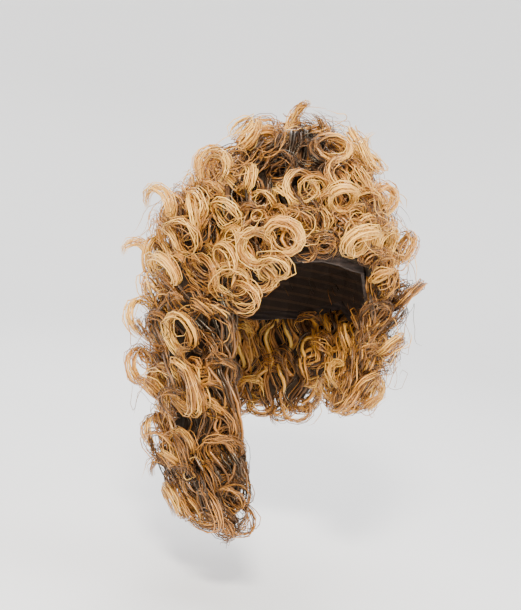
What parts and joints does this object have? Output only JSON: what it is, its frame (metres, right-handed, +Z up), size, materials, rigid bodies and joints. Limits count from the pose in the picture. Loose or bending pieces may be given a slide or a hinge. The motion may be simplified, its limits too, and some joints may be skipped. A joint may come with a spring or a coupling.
{
  "type": "curly wig",
  "caption": "Long curly wig on a stretch cap, dark at the roots and golden at the ends, held up as a head wears it.",
  "frame": {"origin": "the point inside the crown where the wig rests on top of the head", "axes": "+Z up out of the crown, face opening towards -Y, +X towards the wearer's left"},
  "size_m": [0.2875, 0.2956, 0.4264],
  "materials": {
    "hair": "glossy synthetic fibre, dark brown at the root and golden at the ends",
    "net": "matt stretch net",
    "band": "matt elastic tape"
  },
  "bodies": {
    "root": {"cap_net": "net", "edge_band": "band", "top_curls": "hair", "fringe_curls": "hair", "left_temple_curls": "hair", "right_upper_curls": "hair", "left_upper_curls": "hair", "back_upper_curls": "hair", "right_fall": "hair", "left_fall": "hair", "back_right_fall": "hair", "back_left_fall": "hair"}
  },
  "joints": []
}
